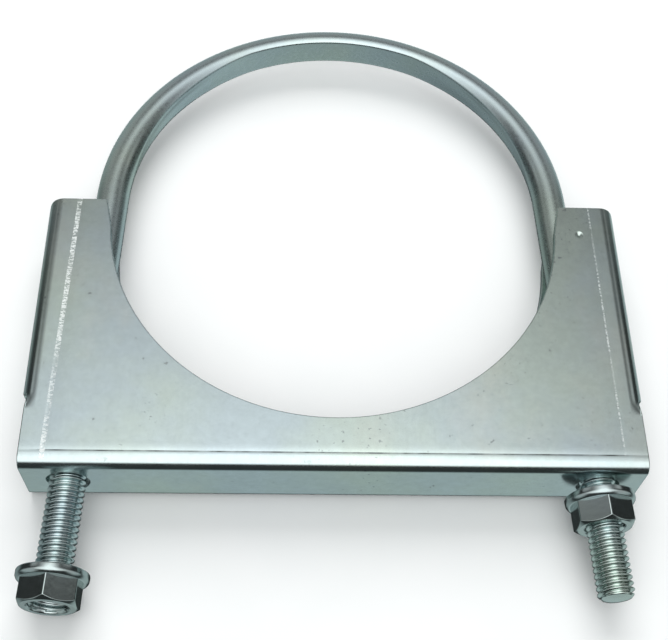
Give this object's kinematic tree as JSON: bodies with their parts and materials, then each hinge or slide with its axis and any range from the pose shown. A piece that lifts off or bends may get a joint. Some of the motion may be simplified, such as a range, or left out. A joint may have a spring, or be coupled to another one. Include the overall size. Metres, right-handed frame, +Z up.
{
  "type": "pipe saddle clamp",
  "caption": "U-bolt pipe clamp: arched rod with a pressed flat, two threaded legs and flange nuts, through a folded sheet saddle.",
  "frame": {"origin": "centre of the pipe seat: on the axis of the pipe that the clamp holds, halfway between the two saddle plates", "axes": "+X right, +Y towards the top of the arch, +Z up, along the pipe's axis and out of the front plate; the clamp lies on its back"},
  "size_m": [0.164, 0.192, 0.021],
  "materials": {
    "saddle_zinc": "bright zinc plate on folded sheet, satin with faint brushing",
    "u_bolt_zinc": "bright zinc plate on bent rod, semi-gloss",
    "nut_zinc": "bright zinc plate, glossy"
  },
  "bodies": {
    "saddle": {"saddle": "saddle_zinc"},
    "u_bolt": {"u_bolt": "u_bolt_zinc"},
    "left_nut": {"left_flange_nut": "nut_zinc"},
    "right_nut": {"right_flange_nut": "nut_zinc"}
  },
  "joints": [
    {"name": "u_bolt_slide", "type": "slide", "parent": "saddle", "child": "u_bolt", "axis": [0, 1, 0], "range_m": [-0.0107, 0]},
    {"name": "left_nut_travel", "type": "slide", "parent": "u_bolt", "child": "left_nut", "axis": [0.0375, 0.9993, 0], "range_m": [-0.0067, 0.0238]},
    {"name": "right_nut_travel", "type": "slide", "parent": "u_bolt", "child": "right_nut", "axis": [-0.0375, 0.9993, 0], "range_m": [-0.0279, 0.0025]}
  ]
}
